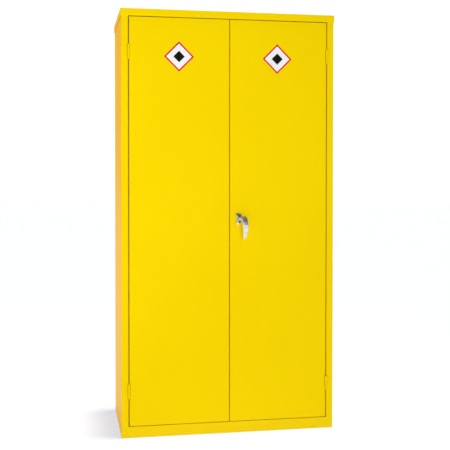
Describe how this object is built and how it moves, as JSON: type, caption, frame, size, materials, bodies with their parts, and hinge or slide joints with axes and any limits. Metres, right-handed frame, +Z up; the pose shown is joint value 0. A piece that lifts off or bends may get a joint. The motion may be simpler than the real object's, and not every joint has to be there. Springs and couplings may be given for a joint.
{
  "type": "flammable storage cabinet",
  "caption": "Tall free-standing steel cupboard with a spill sump, tray shelves, flush double doors on knuckle hinges and a lever that works locking rods.",
  "frame": {"origin": "centre of the bounding box's underside, on the floor under the middle of the cabinet; the box's depth includes the lever that stands out in front", "axes": "+X to the right as seen from the front, +Y from the doors to the back, +Z up"},
  "size_m": [0.915, 0.4936, 1.78],
  "materials": {
    "yellow_powder_coat": "semi-gloss powder coat on folded mild steel sheet",
    "chrome_plate": "polished",
    "zinc_plated_steel": "bright zinc plate",
    "black_rubber": "matt",
    "label_vinyl": "printed vinyl, white with a red border"
  },
  "bodies": {
    "cabinet": {"back_panel": "yellow_powder_coat", "top_cap": "yellow_powder_coat", "head_rail": "yellow_powder_coat", "sill": "yellow_powder_coat", "sump_tray": "yellow_powder_coat", "left_side": "yellow_powder_coat", "right_side": "yellow_powder_coat", "shelf_post_left_front": "yellow_powder_coat", "shelf_post_left_rear": "yellow_powder_coat", "shelf_post_right_front": "yellow_powder_coat", "shelf_post_right_rear": "yellow_powder_coat", "shelf_1": "yellow_powder_coat", "shelf_2": "yellow_powder_coat", "shelf_3": "yellow_powder_coat", "shelf_clip_1_left_front": "zinc_plated_steel", "shelf_clip_2_left_front": "zinc_plated_steel", "shelf_clip_3_left_front": "zinc_plated_steel", "shelf_clip_1_left_rear": "zinc_plated_steel", "shelf_clip_2_left_rear": "zinc_plated_steel", "shelf_clip_3_left_rear": "zinc_plated_steel", "shelf_clip_1_right_front": "zinc_plated_steel", "shelf_clip_2_right_front": "zinc_plated_steel", "shelf_clip_3_right_front": "zinc_plated_steel", "shelf_clip_1_right_rear": "zinc_plated_steel", "shelf_clip_2_right_rear": "zinc_plated_steel", "shelf_clip_3_right_rear": "zinc_plated_steel", "door_buffer_left_upper": "black_rubber", "door_buffer_left_lower": "black_rubber", "door_buffer_right_upper": "black_rubber", "door_buffer_right_lower": "black_rubber", "hinge_left_upper_frame_leaf": "yellow_powder_coat", "hinge_left_lower_frame_leaf": "yellow_powder_coat", "hinge_right_upper_frame_leaf": "yellow_powder_coat", "hinge_right_lower_frame_leaf": "yellow_powder_coat", "hinge_left_upper_pin": "zinc_plated_steel", "hinge_left_lower_pin": "zinc_plated_steel", "hinge_right_upper_pin": "zinc_plated_steel", "hinge_right_lower_pin": "zinc_plated_steel"},
    "left_door": {"left_door": "yellow_powder_coat", "left_door_stiffener": "yellow_powder_coat", "left_label": "label_vinyl", "meeting_strip": "yellow_powder_coat", "hinge_left_upper_door_leaf": "yellow_powder_coat", "hinge_left_lower_door_leaf": "yellow_powder_coat"},
    "right_door": {"right_door": "yellow_powder_coat", "right_door_stiffener": "yellow_powder_coat", "right_label": "label_vinyl", "hinge_right_upper_door_leaf": "yellow_powder_coat", "hinge_right_lower_door_leaf": "yellow_powder_coat", "escutcheon": "chrome_plate", "upper_rod_guide": "zinc_plated_steel", "lower_rod_guide": "zinc_plated_steel"},
    "handle": {"lever": "chrome_plate", "spindle": "zinc_plated_steel", "cam_plate": "zinc_plated_steel", "spindle_nut": "zinc_plated_steel"},
    "lock_plug": {"lock_plug": "chrome_plate"},
    "upper_rod": {"upper_rod": "zinc_plated_steel"},
    "lower_rod": {"lower_rod": "zinc_plated_steel"}
  },
  "joints": [
    {"name": "left_door_hinge", "type": "hinge", "parent": "cabinet", "child": "left_door", "pos_m": [-0.4241, -0.21335, 0.9], "axis": [0, 0, -1], "range_deg": [0, 170]},
    {"name": "right_door_hinge", "type": "hinge", "parent": "cabinet", "child": "right_door", "pos_m": [0.4241, -0.21335, 0.9], "axis": [0, 0, 1], "range_deg": [0, 170]},
    {"name": "handle_turn", "type": "hinge", "parent": "right_door", "child": "handle", "pos_m": [0.04, -0.21185, 0.909], "axis": [0, -1, 0], "range_deg": [0, 90]},
    {"name": "key_turn", "type": "hinge", "parent": "handle", "child": "lock_plug", "pos_m": [0.04, -0.21185, 0.909], "axis": [0, 1, 0], "range_deg": [0, 90]},
    {"name": "upper_rod_slide", "type": "slide", "parent": "right_door", "child": "upper_rod", "axis": [0, 0, -1], "range_m": [0, 0.02]},
    {"name": "lower_rod_slide", "type": "slide", "parent": "right_door", "child": "lower_rod", "axis": [0, 0, 1], "range_m": [0, 0.02]}
  ],
  "couplings": [
    {"joint": "upper_rod_slide", "follows": "handle_turn", "m_per_rad": 0.012694},
    {"joint": "lower_rod_slide", "follows": "handle_turn", "m_per_rad": 0.012694}
  ]
}
